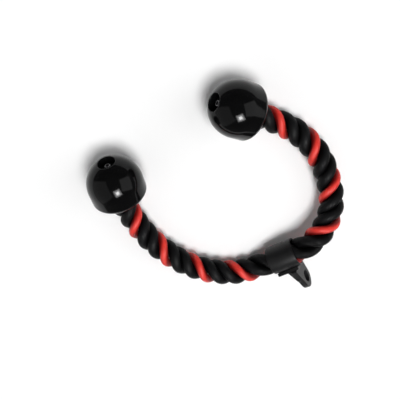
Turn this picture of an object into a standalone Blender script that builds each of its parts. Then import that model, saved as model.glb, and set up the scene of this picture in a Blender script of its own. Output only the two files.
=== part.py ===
"""Triceps rope attachment: a three-strand rope bent into a U, a ball grip moulded on each of its ends,
and a steel clamp at its middle whose eye bracket takes a cable machine's carabiner.

The part lies on the floor, Z up, origin at the bottom centre of its box. Left and right are as seen
from above with +Y away. The rope is cut into stretches at the stations where it bends, because each
stretch moves as one body. Each stretch has its three strands and its core cord as separate solids.
"""

import math

import bmesh
import bpy
import numpy as np
from mathutils import Matrix, Vector

# Clearance between pieces that touch, how far a cutter runs past the face that it opens, how near two
# points are made one, and the angle from which an edge looks sharp.
GAP = 0.0003
OVERRUN = 0.002
MERGE_DISTANCE = GAP / 100
SHARP_EDGE_DEG = 40.0

# Rope: three strands laid right-handed round a core cord.
STRAND_DIAMETER = 0.0110
STRAND_CIRCLE_RADIUS = 0.0094
LAY_LENGTH = 0.0515
CORE_DIAMETER = 0.0056
RED_STRAND_DEG = -42.6
STRANDS = ("strand_red", "strand_black_a", "strand_black_b")
ROPE_RADIUS = STRAND_CIRCLE_RADIUS + STRAND_DIAMETER / 2
STRAND_RINGS_PER_LAY = 12
CORE_RINGS_PER_LAY = 4
STRAND_SIDES = 8

# The clamp squeezes the strands straighter: through it they lose this share of a turn, over a run that
# is this share of the sleeve's length.
LOST_TURN_SHARE = 0.258
LOST_TURN_RUN_SHARE = 1.6

# Route of the rope's centre: places are shares of the span. A lift of 0 lies on the floor, and a lift
# of 1 is as high as the middle of a ball. The shift puts the middle of the part's box at the origin.
ROUTE_SPAN = 0.300
SHIFT_SHARES = (0.0014, 0.0056)
LEFT_BALL_SHARES = (-0.3852, 0.0179)
RIGHT_BALL_SHARES = (0.0831, 0.3099)
CLAMP_SHARES = (0.2673, -0.2851)
LEFT_ARM_SHARES = (
    (-0.326, -0.136, 0.071),
    (-0.277, -0.205, 0.0),
    (-0.212, -0.266, 0.041),
    (-0.133, -0.317, 0.053),
    (-0.045, -0.351, 0.061),
    (0.0408, -0.3637, 0.038),
    (0.1236, -0.3551, 0.0),
)
RIGHT_ARM_SHARES = (
    (0.408, -0.1736, 0.843),
    (0.4406, -0.102, 0.572),
    (0.445, -0.0318, 0.282),
    (0.4253, 0.0474, 0.134),
    (0.3939, 0.1163, 0.161),
    (0.3445, 0.1795, 0.070),
    (0.272, 0.233, 0.0),
    (0.213, 0.261, 0.073),
)
LEFT_BALL_HEADING_DEG = 105.0
LEFT_BALL_PITCH_DEG = 24.0
RIGHT_BALL_HEADING_DEG = 160.0
RIGHT_BALL_PITCH_DEG = 27.0
CLAMP_HEADING_DEG = 30.5
CLAMP_PITCH_DEG = 15.5
SAMPLES_PER_RUN = 40

# Where the rope bends, as shares of the free rope between the clamp and a ball.
BEND_SHARES = (1 / 6, 3 / 6, 5 / 6)

# Ball grip: a tall front dome, a short straight flank and a low rear dome, turned round the rope's axis.
BALL_RADIUS = 0.0324
BALL_FLANK = 0.0125
FRONT_DOME = 0.0345
REAR_DOME = 0.0120
BALL_LIP = 0.0022
BALL_SIDES = 32
FRONT_DOME_STEPS = 9
REAR_DOME_STEPS = 6
RECESS_RADIUS = 0.0100
RECESS_EDGE = 0.0008
RECESS_DEPTH = 0.0095
WEB_THICKNESS = 0.005

# Ferrule: a steel cup crimped on the rope's end, buried in the ball.
FERRULE_WALL = 0.0014
FERRULE_END = 0.0022
FERRULE_LENGTH = 0.018
FERRULE_SIDES = 24

# Retaining screw and its washer, seen at the bottom of the recess.
SCREW_RADIUS = 0.0030
SCREW_LENGTH = 0.0215
SCREW_HEAD_RADIUS = 0.0052
SCREW_HEAD_HEIGHT = 0.0032
HEAD_RIM_SHARE = 1 / 3
HEAD_SHOULDER_SHARE = 5 / 6
HEAD_CROWN_SHARE = 0.6
SOCKET_RADIUS = 0.0023
SOCKET_DEPTH = 0.0018
WASHER_RADIUS = 0.0084
WASHER_THICKNESS = 0.0016
WASHER_EDGE_SHARE = 0.25
FASTENER_SIDES = 24
SOCKET_SIDES = 6

# Clamp sleeve: a short steel tube crimped round the middle of the rope.
SLEEVE_LENGTH = 0.034
SLEEVE_WALL = 0.0018
SLEEVE_EDGE = 0.0006
SLEEVE_SIDES = 32
SLEEVE_RUN_OUT = 0.0005

# Eye bracket: a saddle on the outer side of the sleeve with a flat eye plate standing on it. The offsets
# are along the sleeve from its middle. The bracket is rolled round the sleeve until its tip is down.
SADDLE_THICKNESS = 0.0042
SADDLE_LENGTH = 0.027
SADDLE_OFFSET = -0.002
SADDLE_HALF_ANGLE_DEG = 46.0
SADDLE_STEPS = 12
EYE_PLATE_THICKNESS = 0.007
EYE_PLATE_OFFSET = 0.0061
EYE_REACH = 0.0427
EYE_HOLE_RADIUS = 0.0073
EYE_TIP_RADIUS = 0.0140
EYE_TIP_STEPS = 14
EYE_HOLE_SIDES = 32
EYE_ROOT = 0.0150
EYE_ROOT_HALF_WIDTH = 0.0180
EYE_ROLL_DEG = 14.0

BLACK_STRAND = (0.010, 0.010, 0.011, 1.0)
RED_STRAND = (0.78, 0.035, 0.025, 1.0)
CORE_CORD = (0.030, 0.030, 0.032, 1.0)
BALL_BLACK = (0.008, 0.008, 0.009, 1.0)
CLAMP_GREY = (0.032, 0.032, 0.034, 1.0)
ZINC_STEEL = (0.55, 0.55, 0.56, 1.0)


def material(name, colour, roughness, metallic):
    """A material of one colour."""
    made = bpy.data.materials.new(name)
    made.use_nodes = True
    shader = made.node_tree.nodes["Principled BSDF"]
    shader.inputs["Base Color"].default_value = colour
    shader.inputs["Roughness"].default_value = roughness
    shader.inputs["Metallic"].default_value = metallic
    made.diffuse_color = colour
    return made


def add_object(name, bm, colour, place=None):
    """An object from a bmesh, smooth except at its sharp edges."""
    bmesh.ops.recalc_face_normals(bm, faces=bm.faces)
    mesh = bpy.data.meshes.new(name)
    bm.to_mesh(mesh)
    bm.free()
    mesh.shade_smooth()
    mesh.set_sharp_from_angle(angle=math.radians(SHARP_EDGE_DEG))
    mesh.materials.append(colour)
    made = bpy.data.objects.new(name, mesh)
    bpy.context.scene.collection.objects.link(made)
    if place is not None:
        made.matrix_world = place
    return made


def unit(vector):
    return np.asarray(vector, float) / np.linalg.norm(vector)


def heading(heading_deg, pitch_deg):
    """The unit vector of a compass heading from +X and a pitch above the floor."""
    turn = math.radians(heading_deg)
    rise = math.radians(pitch_deg)
    return np.array(
        [math.cos(rise) * math.cos(turn), math.cos(rise) * math.sin(turn), math.sin(rise)]
    )


def smooth_run(points, first_direction, last_direction):
    """Points close together along the cubic spline through points, with its direction set at both ends."""
    points = np.asarray(points, float)
    steps = np.linalg.norm(np.diff(points, axis=0), axis=1)
    count = len(points)
    rows = np.zeros((count, count))
    wanted = np.zeros((count, 3))
    rows[0, 0] = rows[-1, -1] = 1
    wanted[0] = first_direction
    wanted[-1] = last_direction
    for i in range(1, count - 1):
        before, after = steps[i - 1], steps[i]
        rows[i, i - 1 : i + 2] = 1 / before, 2 / before + 2 / after, 1 / after
        wanted[i] = 3 * (points[i] - points[i - 1]) / before**2
        wanted[i] += 3 * (points[i + 1] - points[i]) / after**2
    slopes = np.linalg.solve(rows, wanted)
    run = [points[:1]]
    t = np.linspace(0, 1, SAMPLES_PER_RUN + 1)[1:, None]
    for i, step in enumerate(steps):
        run.append(
            (2 * t**3 - 3 * t**2 + 1) * points[i]
            + (t**3 - 2 * t**2 + t) * step * slopes[i]
            + (3 * t**2 - 2 * t**3) * points[i + 1]
            + (t**3 - t**2) * step * slopes[i + 1]
        )
    return np.concatenate(run)


def run_length(points):
    return float(np.linalg.norm(np.diff(points, axis=0), axis=1).sum())


class Route:
    """The rope's centre line, with a frame that doesn't twist along it."""

    def __init__(self, points):
        self.points = points
        steps = np.linalg.norm(np.diff(points, axis=0), axis=1)
        self.stations = np.concatenate([[0.0], np.cumsum(steps)])
        self.length = self.stations[-1]
        directions = np.gradient(points, self.stations, axis=0)
        self.directions = directions / np.linalg.norm(directions, axis=1)[:, None]
        normals = [unit(np.cross((0, 0, 1), self.directions[0]))]
        for direction in self.directions[1:]:
            last = normals[-1]
            normals.append(unit(last - (last @ direction) * direction))
        self.normals = np.array(normals)

    def read(self, rows, station):
        return np.array([np.interp(station, self.stations, rows[:, k]) for k in range(3)])

    def at(self, station):
        """The point, direction and two square vectors at a station along the rope."""
        point = self.read(self.points, station)
        direction = unit(self.read(self.directions, station))
        normal = self.read(self.normals, station)
        normal = unit(normal - (normal @ direction) * direction)
        return point, direction, normal, np.cross(direction, normal)


class Layout:
    """Where everything sits: the clamp, the balls and the rope's route through them."""

    def __init__(self):
        self.left_axis = heading(LEFT_BALL_HEADING_DEG, LEFT_BALL_PITCH_DEG)
        self.right_axis = heading(RIGHT_BALL_HEADING_DEG, RIGHT_BALL_PITCH_DEG)
        self.clamp_axis = heading(CLAMP_HEADING_DEG, CLAMP_PITCH_DEG)
        self.left_ball = self.ball_place(LEFT_BALL_SHARES, LEFT_BALL_PITCH_DEG)
        self.right_ball = self.ball_place(RIGHT_BALL_SHARES, RIGHT_BALL_PITCH_DEG)
        pitch = math.radians(CLAMP_PITCH_DEG)
        drop = EYE_REACH * math.sin(math.radians(EYE_ROLL_DEG)) + EYE_TIP_RADIUS
        rest = drop * math.cos(pitch) - PLATE_LOW * math.sin(pitch)
        self.clamp = self.place(CLAMP_SHARES, rest)
        self.make_route()

    def place(self, shares, height):
        """The point at a place given as shares of the span, and at this height above the floor."""
        across, away = np.add(shares, SHIFT_SHARES) * ROUTE_SPAN
        return np.array([across, away, height])

    def ball_place(self, shares, pitch_deg):
        """A ball's middle, with the rear end of its pitched flank and its rear dome resting on the floor."""
        pitch = math.radians(pitch_deg)
        dome_rest = math.hypot(REAR_DOME * math.sin(pitch), BALL_RADIUS * math.cos(pitch))
        return self.place(shares, dome_rest + BALL_FLANK / 2 * math.sin(pitch))

    def arm_points(self, shares, ball):
        rise = ball[2] - ROPE_RADIUS
        return [self.place((x, y), ROPE_RADIUS + lift * rise) for x, y, lift in shares]

    def make_route(self):
        half = SLEEVE_LENGTH / 2 + SLEEVE_RUN_OUT
        left_mouth = self.left_ball - MOUTH_DISTANCE * self.left_axis
        right_mouth = self.right_ball - MOUTH_DISTANCE * self.right_axis
        left_sleeve = self.clamp - half * self.clamp_axis
        right_sleeve = self.clamp + half * self.clamp_axis
        left_arm = smooth_run(
            [left_mouth, *self.arm_points(LEFT_ARM_SHARES, self.left_ball), left_sleeve],
            -self.left_axis,
            self.clamp_axis,
        )
        right_arm = smooth_run(
            [right_sleeve, *self.arm_points(RIGHT_ARM_SHARES, self.right_ball), right_mouth],
            self.clamp_axis,
            self.right_axis,
        )
        buried = MOUTH_DISTANCE + ROPE_END
        inside = np.linspace(0, 1, SAMPLES_PER_RUN + 1)[:-1, None]
        left_end = left_mouth + buried * self.left_axis
        right_end = right_mouth + buried * self.right_axis
        into_left = left_end + inside * (left_mouth - left_end)
        through = left_sleeve + inside[1:] * (right_sleeve - left_sleeve)
        into_right = right_end + inside[::-1] * (right_mouth - right_end)
        self.route = Route(np.concatenate([into_left, left_arm, through, right_arm, into_right]))
        self.left_free = run_length(left_arm)
        self.right_free = run_length(right_arm)
        sleeve_start = buried + self.left_free
        sleeve_end = sleeve_start + 2 * half
        self.lost_run = LOST_TURN_RUN_SHARE * SLEEVE_LENGTH
        self.lost_start = (sleeve_start + sleeve_end - self.lost_run) / 2
        self.left_bends = [sleeve_start - share * self.left_free for share in BEND_SHARES]
        self.right_bends = [sleeve_end + share * self.right_free for share in BEND_SHARES]

    def strand_turn(self, station):
        """How far the strands have turned round the centre line at a station, and their rate there."""
        share = min(max((station - self.lost_start) / self.lost_run, 0.0), 1.0)
        turns = station / LAY_LENGTH - LOST_TURN_SHARE * share**2 * (3 - 2 * share)
        rate = 1 / LAY_LENGTH - LOST_TURN_SHARE * 6 * share * (1 - share) / self.lost_run
        return 2 * math.pi * turns, 2 * math.pi * rate

    def stretches(self):
        """Each body's name and the stations that its stretch of rope runs between."""
        cuts = [0.0, *self.left_bends[::-1], *self.right_bends, self.route.length]
        bodies = ("left_grip", "left_2", "left_1", "clamp", "right_1", "right_2", "right_grip")
        return list(zip(bodies, cuts[:-1], cuts[1:]))


# Sizes that follow from the pieces above, as distances from a ball's middle towards its outer end.
SLEEVE_RADIUS = ROPE_RADIUS + GAP + SLEEVE_WALL
BORE_RADIUS = ROPE_RADIUS + GAP
POCKET_RADIUS = BORE_RADIUS + FERRULE_WALL + GAP
SCREW_HOLE_RADIUS = SCREW_RADIUS + GAP
PLATE_LOW = EYE_PLATE_OFFSET - EYE_PLATE_THICKNESS / 2
PLATE_HIGH = EYE_PLATE_OFFSET + EYE_PLATE_THICKNESS / 2


def dome_distance(radius, dome):
    """How far from the ball's middle a dome of this height has this radius."""
    return BALL_FLANK / 2 + dome * math.sqrt(1 - (radius / BALL_RADIUS) ** 2)


MOUTH_RADIUS = BORE_RADIUS + BALL_LIP
MOUTH_DISTANCE = dome_distance(MOUTH_RADIUS, REAR_DOME)
RECESS_MOUTH = dome_distance(RECESS_RADIUS + RECESS_EDGE, FRONT_DOME)
RECESS_FLOOR = RECESS_MOUTH - RECESS_DEPTH
POCKET_END = RECESS_FLOOR - WEB_THICKNESS
FERRULE_OUTER_END = POCKET_END - GAP
POCKET_START = FERRULE_OUTER_END - FERRULE_LENGTH - GAP
STRAND_LEAN = math.atan(2 * math.pi * STRAND_CIRCLE_RADIUS / LAY_LENGTH)
STRAND_OVERSHOOT = STRAND_DIAMETER / 2 * math.sin(STRAND_LEAN)
ROPE_END = FERRULE_OUTER_END - FERRULE_END - GAP - STRAND_OVERSHOOT
WASHER_FACE = RECESS_FLOOR + GAP + WASHER_THICKNESS
SCREW_SEAT = WASHER_FACE + GAP
CORE_END = SCREW_SEAT - SCREW_LENGTH - GAP


def axis_place(centre, axis):
    """A placement whose X runs along axis from centre, with Z as near up as it goes."""
    x = Vector(unit(axis))
    y = Vector((0, 0, 1)).cross(x).normalized()
    z = x.cross(y)
    rows = Matrix((x, y, z)).transposed().to_4x4()
    rows.translation = Vector(centre)
    return rows


def turned(profile, sides):
    """A closed profile of (along, radius) points spun round the X axis."""
    bm = bmesh.new()
    points = [bm.verts.new((along, 0.0, radius)) for along, radius in profile]
    edges = [bm.edges.new((a, b)) for a, b in zip(points, points[1:])]
    on_axis = profile[0][1] == 0 and profile[-1][1] == 0
    if not on_axis:
        edges.append(bm.edges.new((points[-1], points[0])))
    bmesh.ops.spin(
        bm,
        geom=points + edges,
        axis=(1, 0, 0),
        cent=(0, 0, 0),
        angle=2 * math.pi,
        steps=sides,
        use_merge=True,
    )
    bmesh.ops.remove_doubles(bm, verts=bm.verts, dist=MERGE_DISTANCE)
    return bm


def dome(along, height, first_deg, last_deg, steps):
    """Profile points on a dome of the ball, at angles from the axis."""
    angles = np.radians(np.linspace(first_deg, last_deg, steps + 1))
    return [(along + height * math.cos(a), BALL_RADIUS * math.sin(a)) for a in angles]


def ball_profile():
    """The grip's outline, from its recess round the outside to the mouth and back through the bores."""
    recess_rim = math.degrees(math.asin((RECESS_RADIUS + RECESS_EDGE) / BALL_RADIUS))
    mouth_rim = math.degrees(math.asin(MOUTH_RADIUS / BALL_RADIUS))
    front = dome(BALL_FLANK / 2, FRONT_DOME, recess_rim, 90, FRONT_DOME_STEPS)
    rear = dome(-BALL_FLANK / 2, REAR_DOME, 90, 180 - mouth_rim, REAR_DOME_STEPS)
    return [
        *front,
        *rear,
        (-MOUTH_DISTANCE, BORE_RADIUS),
        (POCKET_START, BORE_RADIUS),
        (POCKET_START, POCKET_RADIUS),
        (POCKET_END, POCKET_RADIUS),
        (POCKET_END, SCREW_HOLE_RADIUS),
        (RECESS_FLOOR, SCREW_HOLE_RADIUS),
        (RECESS_FLOOR, RECESS_RADIUS),
        (RECESS_MOUTH - RECESS_EDGE, RECESS_RADIUS),
    ]


def ferrule_profile():
    inner_end = FERRULE_OUTER_END - FERRULE_END
    outer = BORE_RADIUS + FERRULE_WALL
    start = FERRULE_OUTER_END - FERRULE_LENGTH
    return [
        (start, BORE_RADIUS),
        (start, outer),
        (FERRULE_OUTER_END - FERRULE_WALL, outer),
        (FERRULE_OUTER_END, outer - FERRULE_WALL),
        (FERRULE_OUTER_END, SCREW_HOLE_RADIUS),
        (inner_end, SCREW_HOLE_RADIUS),
        (inner_end, BORE_RADIUS),
    ]


def washer_profile():
    edge = WASHER_THICKNESS * WASHER_EDGE_SHARE
    return [
        (RECESS_FLOOR + GAP, SCREW_HOLE_RADIUS),
        (RECESS_FLOOR + GAP, WASHER_RADIUS),
        (WASHER_FACE - edge, WASHER_RADIUS),
        (WASHER_FACE, WASHER_RADIUS - edge),
        (WASHER_FACE, SCREW_HOLE_RADIUS),
    ]


def screw_profile():
    """A button-headed screw on the ball's axis, its point towards the rope."""
    tip = SCREW_SEAT - SCREW_LENGTH
    rim = SCREW_SEAT + SCREW_HEAD_HEIGHT * HEAD_RIM_SHARE
    shoulder = SCREW_SEAT + SCREW_HEAD_HEIGHT * HEAD_SHOULDER_SHARE
    top = SCREW_SEAT + SCREW_HEAD_HEIGHT
    crown = SCREW_HEAD_RADIUS * HEAD_CROWN_SHARE
    return [
        (tip, 0.0),
        (tip, SCREW_RADIUS / 2),
        (tip + SCREW_RADIUS, SCREW_RADIUS),
        (SCREW_SEAT, SCREW_RADIUS),
        (SCREW_SEAT, SCREW_HEAD_RADIUS),
        (rim, SCREW_HEAD_RADIUS),
        (shoulder, (SCREW_HEAD_RADIUS + crown) / 2),
        (top, crown),
        (top, 0.0),
    ]


def cut(target, cutter):
    """Cuts a hidden helper out of an object."""
    cutter.hide_render = True
    cutter.display_type = "WIRE"
    modifier = target.modifiers.new("cut", "BOOLEAN")
    modifier.operation = "DIFFERENCE"
    modifier.solver = "EXACT"
    modifier.object = cutter


def join(target, other):
    """Unites a hidden helper with an object."""
    other.hide_render = True
    other.display_type = "WIRE"
    modifier = target.modifiers.new("join", "BOOLEAN")
    modifier.operation = "UNION"
    modifier.solver = "EXACT"
    modifier.object = other


def add_grip(side, centre, axis, colours):
    """One ball with the ferrule, washer and screw that hold it on the rope."""
    place = axis_place(centre, axis)
    add_object(f"{side}_ball", turned(ball_profile(), BALL_SIDES), colours["ball"], place)
    ferrule = turned(ferrule_profile(), FERRULE_SIDES)
    add_object(f"{side}_rope_end_ferrule", ferrule, colours["steel"], place)
    washer = turned(washer_profile(), FASTENER_SIDES)
    add_object(f"{side}_retaining_washer", washer, colours["steel"], place)
    screw = turned(screw_profile(), FASTENER_SIDES)
    screw_object = add_object(f"{side}_retaining_screw", screw, colours["steel"], place)
    socket_floor = SCREW_SEAT + SCREW_HEAD_HEIGHT - SOCKET_DEPTH
    socket_top = SCREW_SEAT + SCREW_HEAD_HEIGHT + OVERRUN
    socket_profile = [
        (socket_floor, 0.0),
        (socket_floor, SOCKET_RADIUS),
        (socket_top, SOCKET_RADIUS),
        (socket_top, 0.0),
    ]
    socket = turned(socket_profile, SOCKET_SIDES)
    cut(screw_object, add_object(f"{side}_socket_cutter", socket, colours["steel"], place))


def tube(points, directions, sideways, radius, sides):
    """A round tube with flat ends, each of its rings square to its direction."""
    bm = bmesh.new()
    rings = []
    for point, direction, side in zip(points, directions, sideways):
        side = unit(side - (side @ direction) * direction)
        other = np.cross(direction, side)
        ring = []
        for k in range(sides):
            angle = 2 * math.pi * k / sides
            corner = point + radius * (math.cos(angle) * side + math.sin(angle) * other)
            ring.append(bm.verts.new(corner))
        rings.append(ring)
    for near, far in zip(rings, rings[1:]):
        for k in range(sides):
            after = (k + 1) % sides
            bm.faces.new((near[k], near[after], far[after], far[k]))
    bm.faces.new(rings[0])
    bm.faces.new(rings[-1])
    return bm


def stations_between(first, last, rings_per_lay):
    count = max(2, math.ceil((last - first) / LAY_LENGTH * rings_per_lay) + 1)
    return np.linspace(first, last, count)


def strand_tube(layout, number, first, last):
    """One strand of a stretch of rope: a helix round the rope's centre line."""
    points, directions, sideways = [], [], []
    start = math.radians(RED_STRAND_DEG) + 2 * math.pi * number / len(STRANDS)
    for station in stations_between(first, last, STRAND_RINGS_PER_LAY):
        point, direction, normal, other = layout.route.at(station)
        turn, rate = layout.strand_turn(station)
        angle = start + turn
        outward = math.cos(angle) * normal + math.sin(angle) * other
        around = math.cos(angle) * other - math.sin(angle) * normal
        points.append(point + STRAND_CIRCLE_RADIUS * outward)
        directions.append(unit(direction + rate * STRAND_CIRCLE_RADIUS * around))
        sideways.append(outward)
    return tube(points, directions, sideways, STRAND_DIAMETER / 2, STRAND_SIDES)


def core_tube(route, first, last):
    frames = [route.at(s) for s in stations_between(first, last, CORE_RINGS_PER_LAY)]
    points, directions, sideways, _ = zip(*frames)
    return tube(points, directions, sideways, CORE_DIAMETER / 2, STRAND_SIDES)


def add_rope(layout, colours):
    """Every stretch of rope: its three strands and its core, a gap away from the next stretch's."""
    core_margin = ROPE_END - CORE_END
    route = layout.route
    for body, first, last in layout.stretches():
        start = first if first == 0 else first + GAP / 2
        end = last if last == route.length else last - GAP / 2
        for number, name in enumerate(STRANDS):
            colour = colours["red"] if number == 0 else colours["black"]
            strand = strand_tube(layout, number, start, end)
            add_object(f"{name}_{body}", strand, colour)
        core_start = first + core_margin if first == 0 else start
        core_end = last - core_margin if last == route.length else end
        add_object(f"core_cord_{body}", core_tube(route, core_start, core_end), colours["core"])


def add_sleeve(layout, colours):
    half = SLEEVE_LENGTH / 2
    bore = SLEEVE_RADIUS - SLEEVE_WALL
    profile = [
        (-half, bore + SLEEVE_EDGE),
        (-half, SLEEVE_RADIUS - SLEEVE_EDGE),
        (-half + SLEEVE_EDGE, SLEEVE_RADIUS),
        (half - SLEEVE_EDGE, SLEEVE_RADIUS),
        (half, SLEEVE_RADIUS - SLEEVE_EDGE),
        (half, bore + SLEEVE_EDGE),
        (half - SLEEVE_EDGE, bore),
        (-half + SLEEVE_EDGE, bore),
    ]
    place = axis_place(layout.clamp, layout.clamp_axis)
    add_object("clamp_sleeve", turned(profile, SLEEVE_SIDES), colours["clamp"], place)


def prism(outline, low, high):
    """A flat outline of (across, outward) points, pushed along X from low to high."""
    bm = bmesh.new()
    face = bm.faces.new([bm.verts.new((low, -outward, across)) for across, outward in outline])
    grown = bmesh.ops.extrude_face_region(bm, geom=[face])["geom"]
    moved = [item for item in grown if isinstance(item, bmesh.types.BMVert)]
    bmesh.ops.translate(bm, verts=moved, vec=(high - low, 0, 0))
    return bm


def saddle_outline():
    """A thick arc that hugs the sleeve's outer side."""
    inner = SLEEVE_RADIUS + GAP
    outer = inner + SADDLE_THICKNESS
    angles = np.radians(np.linspace(-SADDLE_HALF_ANGLE_DEG, SADDLE_HALF_ANGLE_DEG, SADDLE_STEPS + 1))
    inside = [(inner * math.sin(a), inner * math.cos(a)) for a in angles]
    outside = [(outer * math.sin(a), outer * math.cos(a)) for a in angles[::-1]]
    return inside + outside


def eye_outline():
    """The eye plate: a root beside the sleeve, straight tapering sides and a round tip about the hole."""
    lean = math.atan2(EYE_ROOT_HALF_WIDTH - EYE_TIP_RADIUS, EYE_REACH - EYE_ROOT)
    angles = np.linspace(lean, math.pi - lean, EYE_TIP_STEPS + 1)
    tip = [
        (EYE_TIP_RADIUS * math.cos(a), EYE_REACH + EYE_TIP_RADIUS * math.sin(a)) for a in angles
    ]
    return [(-EYE_ROOT_HALF_WIDTH, EYE_ROOT), (EYE_ROOT_HALF_WIDTH, EYE_ROOT), *tip]


def add_eye_bracket(layout, colours):
    """The saddle with its eye plate, one solid, welded to the sleeve."""
    roll = Matrix.Rotation(math.radians(EYE_ROLL_DEG), 4, "X")
    place = axis_place(layout.clamp, layout.clamp_axis) @ roll
    saddle_low = SADDLE_OFFSET - SADDLE_LENGTH / 2
    saddle = prism(saddle_outline(), saddle_low, saddle_low + SADDLE_LENGTH)
    bracket = add_object("eye_bracket", saddle, colours["clamp"], place)
    plate = prism(eye_outline(), PLATE_LOW, PLATE_HIGH)
    join(bracket, add_object("eye_plate_helper", plate, colours["clamp"], place))
    clearance = turned(
        [
            (-SLEEVE_LENGTH, 0.0),
            (-SLEEVE_LENGTH, SLEEVE_RADIUS + GAP),
            (SLEEVE_LENGTH, SLEEVE_RADIUS + GAP),
            (SLEEVE_LENGTH, 0.0),
        ],
        SLEEVE_SIDES,
    )
    cut(bracket, add_object("sleeve_clearance_cutter", clearance, colours["clamp"], place))
    hole = turned(
        [
            (PLATE_LOW - OVERRUN, 0.0),
            (PLATE_LOW - OVERRUN, EYE_HOLE_RADIUS),
            (PLATE_HIGH + OVERRUN, EYE_HOLE_RADIUS),
            (PLATE_HIGH + OVERRUN, 0.0),
        ],
        EYE_HOLE_SIDES,
    )
    hole_place = place @ Matrix.Translation((0, -EYE_REACH, 0))
    cut(bracket, add_object("eye_hole_cutter", hole, colours["clamp"], hole_place))


def main():
    for old in list(bpy.data.objects):
        bpy.data.objects.remove(old)
    colours = {
        "red": material("red_strand", RED_STRAND, 0.35, 0.0),
        "black": material("black_strand", BLACK_STRAND, 0.4, 0.0),
        "core": material("core_cord", CORE_CORD, 0.7, 0.0),
        "ball": material("ball_plastic", BALL_BLACK, 0.12, 0.0),
        "clamp": material("clamp_paint", CLAMP_GREY, 0.4, 0.0),
        "steel": material("zinc_steel", ZINC_STEEL, 0.35, 1.0),
    }
    layout = Layout()
    add_rope(layout, colours)
    add_sleeve(layout, colours)
    add_eye_bracket(layout, colours)
    add_grip("left", layout.left_ball, layout.left_axis, colours)
    add_grip("right", layout.right_ball, layout.right_axis, colours)


main()
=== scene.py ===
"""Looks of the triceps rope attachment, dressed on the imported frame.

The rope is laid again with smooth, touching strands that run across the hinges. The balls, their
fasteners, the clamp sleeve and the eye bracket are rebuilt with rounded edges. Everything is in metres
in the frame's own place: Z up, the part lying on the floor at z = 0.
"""

import math

import bmesh
import bpy
import numpy as np
from mathutils import Matrix, Vector


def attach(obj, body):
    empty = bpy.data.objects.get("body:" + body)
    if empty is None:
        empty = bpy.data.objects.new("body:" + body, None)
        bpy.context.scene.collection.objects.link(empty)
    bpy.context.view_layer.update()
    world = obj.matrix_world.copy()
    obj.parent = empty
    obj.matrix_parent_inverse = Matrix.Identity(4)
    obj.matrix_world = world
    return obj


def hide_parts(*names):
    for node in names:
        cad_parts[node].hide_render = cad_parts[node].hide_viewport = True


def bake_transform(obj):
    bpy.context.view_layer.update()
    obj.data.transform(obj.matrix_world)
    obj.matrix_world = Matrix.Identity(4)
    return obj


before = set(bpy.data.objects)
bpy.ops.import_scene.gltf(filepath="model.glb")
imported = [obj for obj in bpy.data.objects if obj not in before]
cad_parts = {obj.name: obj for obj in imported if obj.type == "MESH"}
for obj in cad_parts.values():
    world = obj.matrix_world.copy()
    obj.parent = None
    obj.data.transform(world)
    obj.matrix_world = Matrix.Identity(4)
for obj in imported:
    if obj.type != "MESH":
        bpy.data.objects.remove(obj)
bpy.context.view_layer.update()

# Camera: how far it leans from straight down, towards +Y and towards +X, and what it looks at.
CAMERA_LEAN_DEG = 18.0
CAMERA_SIDE_DEG = -2.0
CAMERA_DISTANCE = 0.70
CAMERA_AIM = (-0.0200, -0.0186, 0.0)
LENS_MM = 52.16

# Clearance between pieces that touch.
GAP = 0.0003

# Rope. It is as thick as the CAD's, but the black strands are thicker than the CAD solids and the red one is
# thinner, so that all three touch. The lay loses a share of a turn at the clamp: half of it in the run before
# the sleeve, and half in the run after it.
ROPE_RADIUS = 0.0149
LAY_LENGTH = 0.0515
RED_STRAND_DEG = -42.6
LOST_TURN_SHARE = 0.258
LOST_TURN_RUN = 0.026
RED_RADIUS = 0.0051
BLACK_RADIUS = 0.0067
STRAND_RADII = (RED_RADIUS, BLACK_RADIUS, BLACK_RADIUS)
CORE_RADIUS = 0.0028
STRAND_RINGS_PER_LAY = 44
STRAND_SIDES = 22
CORE_SIDES = 12
YARNS_ROUND_STRAND = 18
STRANDS = ("strand_red", "strand_black_a", "strand_black_b")

# Route of the rope's centre, as part.py has it: shares of the span, with a lift of 1 at a ball's middle.
ROUTE_SPAN = 0.300
SHIFT_SHARES = (0.0014, 0.0056)
LEFT_BALL_SHARES = (-0.3852, 0.0179)
RIGHT_BALL_SHARES = (0.0831, 0.3099)
CLAMP_SHARES = (0.2673, -0.2851)
LEFT_ARM_SHARES = (
    (-0.326, -0.136, 0.071),
    (-0.277, -0.205, 0.0),
    (-0.212, -0.266, 0.041),
    (-0.133, -0.317, 0.053),
    (-0.045, -0.351, 0.061),
    (0.0408, -0.3637, 0.038),
    (0.1236, -0.3551, 0.0),
)
RIGHT_ARM_SHARES = (
    (0.408, -0.1736, 0.843),
    (0.4406, -0.102, 0.572),
    (0.445, -0.0318, 0.282),
    (0.4253, 0.0474, 0.134),
    (0.3939, 0.1163, 0.161),
    (0.3445, 0.1795, 0.070),
    (0.272, 0.233, 0.0),
    (0.213, 0.261, 0.073),
)
LEFT_BALL_HEADING_DEG = 105.0
LEFT_BALL_PITCH_DEG = 24.0
RIGHT_BALL_HEADING_DEG = 160.0
RIGHT_BALL_PITCH_DEG = 27.0
CLAMP_HEADING_DEG = 30.5
CLAMP_PITCH_DEG = 15.5
SAMPLES_PER_RUN = 40
BODIES = ("left_grip", "left_2", "left_1", "clamp", "right_1", "right_2", "right_grip")
BEND_SHARES = (1 / 6, 3 / 6, 5 / 6)
BEND_HALF = 0.028

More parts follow.
